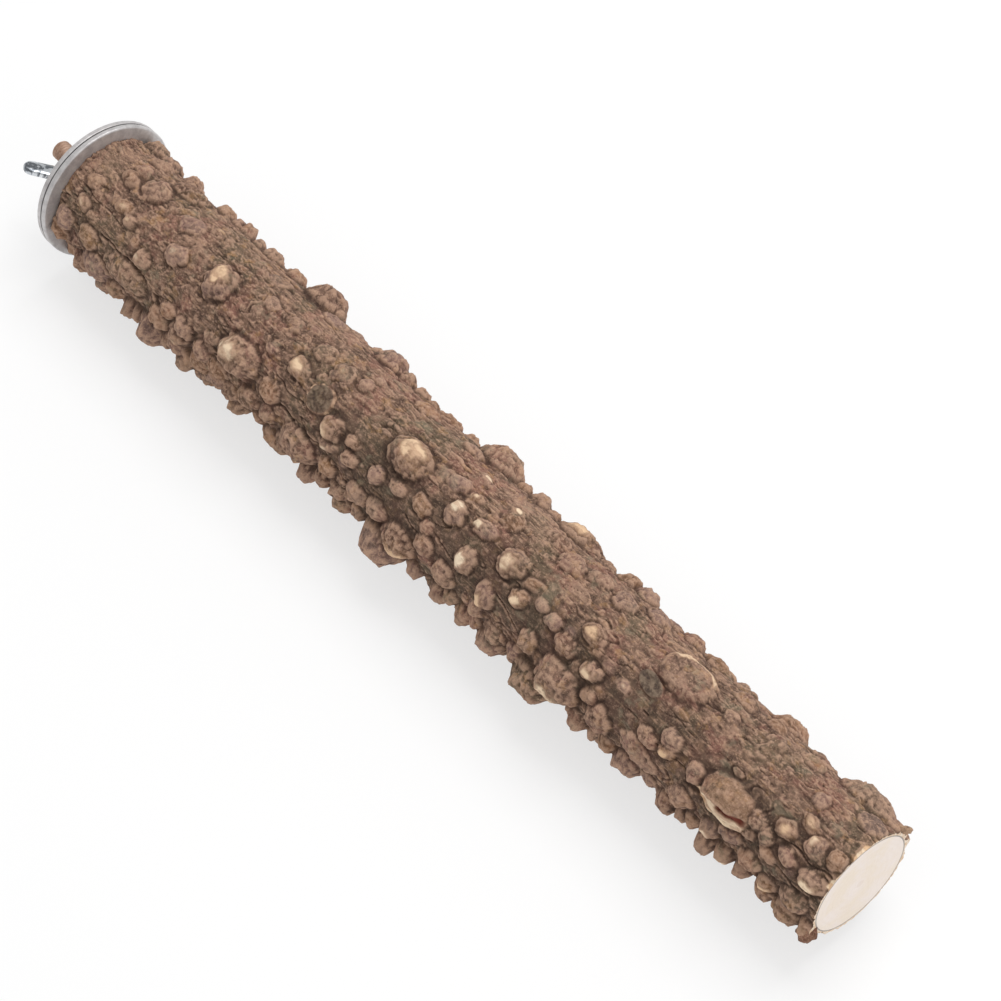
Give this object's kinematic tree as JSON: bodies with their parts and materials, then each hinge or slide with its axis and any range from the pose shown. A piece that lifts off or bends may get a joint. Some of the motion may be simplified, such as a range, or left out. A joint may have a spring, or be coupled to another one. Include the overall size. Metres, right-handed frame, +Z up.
{
  "type": "bird perch",
  "caption": "Knobby natural log perch with a hanger bolt, wide washers and a wing nut that clamp its end to the wires of a cage.",
  "frame": {"origin": "clamp plane, where the two washers meet, on the axis of the bolt", "axes": "+X along the log from the clamp to the free sawn end, +Z up, the side that people look at faces -Y and up"},
  "size_m": [0.3238, 0.0451, 0.0437],
  "materials": {
    "sapwood": "fine sawn pale wood",
    "bark": "rough corky bark with knobs",
    "bolt_steel": "yellow passivated steel thread",
    "washer_steel": "plain stainless steel with rolled edges",
    "nut_steel": "bright zinc plated casting"
  },
  "bodies": {
    "log": {"wood_core": "sapwood", "bark": "bark", "hanger_bolt": "bolt_steel"},
    "inner_washer": {"inner_washer": "washer_steel"},
    "outer_washer": {"outer_washer": "washer_steel"},
    "wing_nut": {"wing_nut": "nut_steel"}
  },
  "joints": [
    {"name": "inner_washer_spin", "type": "hinge", "parent": "log", "child": "inner_washer", "pos_m": [0, 0, 0], "axis": [1, 0, 0], "continuous": true},
    {"name": "clamp_travel", "type": "slide", "parent": "log", "child": "outer_washer", "axis": [-1, 0, 0], "range_m": [0, 0.01]},
    {"name": "nut_spin", "type": "hinge", "parent": "outer_washer", "child": "wing_nut", "pos_m": [0, 0, 0], "axis": [-1, 0, 0], "range_deg": [0, 3600]}
  ],
  "couplings": [
    {"joint": "nut_spin", "follows": "clamp_travel", "rad_per_m": 6283.2}
  ]
}
